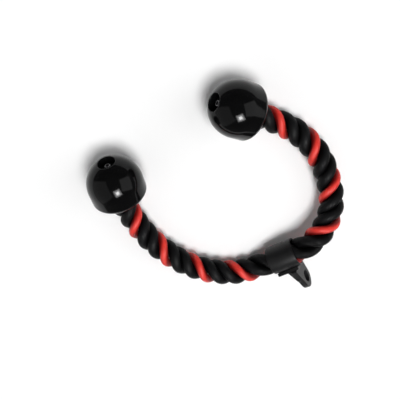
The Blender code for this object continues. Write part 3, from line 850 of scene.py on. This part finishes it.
def washer_profile():
    low, high = RECESS_FLOOR + GAP, SCREW_SEAT - GAP
    return rounded(
        [
            (low, SCREW_HOLE_RADIUS, 0),
            (low, WASHER_RADIUS, 0),
            (high, WASHER_RADIUS, WASHER_FILLET),
            (high, SCREW_HOLE_RADIUS, 0),
        ]
    )


def screw_profile():
    """A button-headed screw, its point towards the rope."""
    tip = SCREW_SEAT - SCREW_LENGTH
    top = SCREW_SEAT + SCREW_HEAD_HEIGHT
    rim = SCREW_SEAT + SCREW_HEAD_HEIGHT * HEAD_RIM_SHARE
    return rounded(
        [
            (tip, 0.0, 0),
            (tip, SCREW_RADIUS / 2, 0),
            (tip + SCREW_RADIUS, SCREW_RADIUS, 0),
            (SCREW_SEAT, SCREW_RADIUS, 0),
            (SCREW_SEAT, SCREW_HEAD_RADIUS, 0),
            (rim, SCREW_HEAD_RADIUS, HEAD_FILLET / 2),
            (top, SCREW_HEAD_RADIUS * HEAD_CROWN_SHARE, HEAD_FILLET),
            (top, 0.0, 0),
        ]
    )


def screw_mesh():
    low = SCREW_SEAT + SCREW_HEAD_HEIGHT - SOCKET_DEPTH
    high = SCREW_SEAT + SCREW_HEAD_HEIGHT + SOCKET_DEPTH
    socket = cylinder(low, high, SOCKET_RADIUS, SOCKET_SIDES)
    return carved("screw", turned(screw_profile(), FASTENER_SIDES), ("DIFFERENCE", socket))


def add_grip(side, centre, axis, materials):
    """One ball with its washer and screw."""
    place = axis_place(centre, axis)
    body = f"{side}_grip"
    ball = mesh_of("grip", turned(ball_profile(), BALL_SIDES))
    plastic, steel = materials["ball_plastic"], materials["zinc_steel"]
    add_piece(f"{side}_grip_ball", ball, place, plastic, body, f"{side}_ball")
    washer = mesh_of("washer", turned(washer_profile(), FASTENER_SIDES))
    add_piece(f"{side}_washer", washer, place, steel, body, f"{side}_retaining_washer")
    add_piece(f"{side}_screw", screw_mesh(), place, steel, body, f"{side}_retaining_screw")


def sleeve_profile():
    half, bore = SLEEVE_LENGTH / 2, SLEEVE_RADIUS - SLEEVE_WALL
    return rounded(
        [
            (-half, bore, SLEEVE_EDGE),
            (-half, SLEEVE_RADIUS, SLEEVE_FILLET),
            (half, SLEEVE_RADIUS, SLEEVE_FILLET),
            (half, bore, SLEEVE_EDGE),
        ]
    )


def saddle_outline():
    """A thick arc that hugs the sleeve's outer side."""
    inner = SLEEVE_RADIUS + GAP
    outer = inner + SADDLE_THICKNESS
    angles = np.radians(np.linspace(-SADDLE_HALF_ANGLE_DEG, SADDLE_HALF_ANGLE_DEG, SADDLE_STEPS + 1))
    inside = [(inner * math.sin(a), inner * math.cos(a)) for a in angles]
    return inside + [(outer * math.sin(a), outer * math.cos(a)) for a in angles[::-1]]


def eye_outline():
    """The eye plate: a root beside the sleeve, straight tapering sides and a round tip about the hole."""
    lean = math.atan2(EYE_ROOT_HALF_WIDTH - EYE_TIP_RADIUS, EYE_REACH - EYE_ROOT)
    angles = np.linspace(lean, math.pi - lean, EYE_TIP_STEPS + 1)
    tip = [(EYE_TIP_RADIUS * math.cos(a), EYE_REACH + EYE_TIP_RADIUS * math.sin(a)) for a in angles]
    return [(-EYE_ROOT_HALF_WIDTH, EYE_ROOT), (EYE_ROOT_HALF_WIDTH, EYE_ROOT), *tip]


def eye_fillet():
    """The fillet that thickens the eye plate's back towards its root."""
    back = PLATE_LOW - EYE_FILLET
    middle = (PLATE_LOW + PLATE_HIGH) / 2
    outline = [(middle, EYE_ROOT), (back, EYE_ROOT), (PLATE_LOW, EYE_FILLET_END), (middle, EYE_FILLET_END)]
    low = -EYE_FILLET_HALF_HEIGHT
    return extruded([(x, -outward, low) for x, outward in outline], (0, 0, 2 * EYE_FILLET_HALF_HEIGHT))


def bracket_mesh():
    """Saddle and eye plate as one piece, its edges and inner corners softened by the coat."""
    saddle_low = SADDLE_OFFSET - SADDLE_LENGTH / 2
    saddle = prism(saddle_outline(), saddle_low, saddle_low + SADDLE_LENGTH)
    clearance = cylinder(-SLEEVE_LENGTH, SLEEVE_LENGTH, SLEEVE_RADIUS + GAP, SLEEVE_SIDES)
    hole_low, hole_high = PLATE_LOW - EYE_PLATE_THICKNESS, PLATE_HIGH + EYE_PLATE_THICKNESS
    hole = cylinder(hole_low, hole_high, EYE_HOLE_RADIUS, EYE_HOLE_SIDES)
    bmesh.ops.translate(hole, verts=hole.verts, vec=(0, -EYE_REACH, 0))
    plate, fillet = prism(eye_outline(), PLATE_LOW, PLATE_HIGH), eye_fillet()
    middle = Vector((EYE_PLATE_OFFSET, 0, 0))
    turn = Matrix.Rotation(math.radians(-EYE_TURN_DEG), 4, "Y")
    turn = Matrix.Translation(middle) @ turn @ Matrix.Translation(-middle)
    # The plate, its fillet and its hole share planes, and after the turn these would only nearly be the
    # same. Booleans on such planes give a wrong solid in some runs, so these come before the turn.
    eye = bmesh.new()
    eye.from_mesh(carved("eye", plate, ("UNION", fillet), ("DIFFERENCE", hole)))
    eye.transform(turn)
    mesh = carved("bracket", saddle, ("UNION", eye), ("DIFFERENCE", clearance))
    thing = placed("bracket", mesh)
    remesh = thing.modifiers.new("remesh", "REMESH")
    remesh.mode = "VOXEL"
    remesh.voxel_size = BRACKET_VOXEL
    remesh.use_smooth_shade = True
    smooth = thing.modifiers.new("smooth", "SMOOTH")
    smooth.factor = BRACKET_SMOOTHING_SHARE
    smooth.iterations = BRACKET_SMOOTHINGS
    return settled(thing)


def add_clamp(layout, materials):
    place = axis_place(layout.clamp, layout.clamp_axis)
    coat = materials["clamp_paint"]
    sleeve = mesh_of("sleeve", turned(sleeve_profile(), SLEEVE_SIDES))
    add_piece("crimped_sleeve", sleeve, place, coat, "clamp", "clamp_sleeve")
    rolled = place @ Matrix.Rotation(math.radians(EYE_ROLL_DEG), 4, "X")
    add_piece("carabiner_eye", bracket_mesh(), rolled, coat, "clamp", "eye_bracket")


def dress_ferrules(steel):
    """The ferrules stay the CAD's own, inside the balls."""
    for side in ("left", "right"):
        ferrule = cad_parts[f"{side}_rope_end_ferrule"]
        ferrule.data.materials.clear()
        ferrule.data.materials.append(steel)


def add_floor():
    mesh = bpy.data.meshes.new("floor")
    size = FLOOR_HALF
    corners = [(-size, -size), (size, -size), (size, size), (-size, size)]
    mesh.from_pydata([(x, y, -FLOOR_DROP) for x, y in corners], [], [(0, 1, 2, 3)])
    made, tree, shader = principled("floor_white", FLOOR_COLOUR, FLOOR_ROUGHNESS)
    shader.inputs["Specular IOR Level"].default_value = 0.0
    away = tree.nodes.new("ShaderNodeVectorMath")
    away.operation = "DISTANCE"
    away.inputs[1].default_value = (*(unit(SOFT_WAY) * SOFT_DISTANCE)[:2].tolist(), 0)
    tree.links.new(place_of(tree), away.inputs[0])
    glow = tree.nodes.new("ShaderNodeMapRange")
    glow.inputs["From Min"].default_value = GLOW_NEAR
    glow.inputs["From Max"].default_value = GLOW_FAR
    glow.inputs["To Min"].default_value, glow.inputs["To Max"].default_value = FLOOR_GLOW
    tree.links.new(away.outputs["Value"], glow.inputs["Value"])
    rays = tree.nodes.new("ShaderNodeLightPath")
    either = rays.outputs["Is Camera Ray"]
    for kind in ("Is Glossy Ray", "Is Transmission Ray"):
        either = maths(tree, "MAXIMUM", either, rays.outputs[kind])
    shader.inputs["Emission Color"].default_value = (1, 1, 1, 1)
    seen = maths(tree, "MULTIPLY", glow.outputs["Result"], either)
    tree.links.new(seen, shader.inputs["Emission Strength"])
    mesh.materials.append(made)
    floor = placed("floor", mesh)


def add_lamp(name, way, distance, width, watts):
    """A square soft lamp that faces the object's middle."""
    data = bpy.data.lights.new(name, "AREA")
    data.shape = "SQUARE"
    data.size = width
    data.energy = watts
    lamp = placed(name, data)
    lamp.location = Vector(unit(way)) * distance
    lamp.rotation_euler = Vector(unit(way)).to_track_quat("Z", "Y").to_euler()
    return lamp


def set_light():
    """A soft lamp, a glint for the gloss, two dim lamps and a dim world, a little brighter at its horizon."""
    add_lamp("soft_lamp", SOFT_WAY, SOFT_DISTANCE, SOFT_WIDTH, SOFT_WATTS).visible_glossy = False
    for number, (width, watts) in enumerate(GLINT_SQUARES):
        distance = GLINT_DISTANCE - number * GLINT_STEP
        add_lamp(f"glint_lamp_{number}", GLINT_WAY, distance, width, watts).visible_diffuse = False
    add_lamp("side_lamp", SIDE_WAY, SIDE_DISTANCE, SIDE_WIDTH, SIDE_WATTS)
    add_lamp("wall_lamp", WALL_WAY, WALL_DISTANCE, WALL_WIDTH, WALL_WATTS)
    world = bpy.data.worlds.new("studio")
    world.use_nodes = True
    tree = world.node_tree
    split = tree.nodes.new("ShaderNodeSeparateXYZ")
    tree.links.new(tree.nodes.new("ShaderNodeTexCoord").outputs["Generated"], split.inputs["Vector"])
    level = tree.nodes.new("ShaderNodeMapRange")
    level.interpolation_type = "SMOOTHSTEP"
    level.inputs["From Max"].default_value = ZENITH_FROM
    level.inputs["To Min"].default_value = HORIZON_LEVEL
    level.inputs["To Max"].default_value = ZENITH_LEVEL
    tree.links.new(split.outputs["Z"], level.inputs["Value"])
    sky = tree.nodes["Background"]
    sky.inputs["Color"].default_value = (1, 1, 1, 1)
    tree.links.new(level.outputs["Result"], sky.inputs["Strength"])
    bpy.context.scene.world = world


def main():
    set_camera()
    materials = {
        "red_strand": strand_material("red_satin", RED_SHADED_AND_LIT, RED_SPECULAR, RED_RADIUS),
        "black_strand": strand_material("black_satin", BLACK_SHADED_AND_LIT, BLACK_SPECULAR, BLACK_RADIUS),
        "core_cord": core_material(),
        "ball_plastic": ball_material(),
        "clamp_paint": clamp_material(),
        "zinc_steel": steel_material(),
    }
    layout = Layout()
    add_rope(layout, materials)
    add_grip("left", layout.left_ball, layout.left_axis, materials)
    add_grip("right", layout.right_ball, layout.right_axis, materials)
    add_clamp(layout, materials)
    dress_ferrules(materials["zinc_steel"])
    add_floor()
    set_light()
    bpy.context.scene.view_settings.view_transform = "Standard"


main()
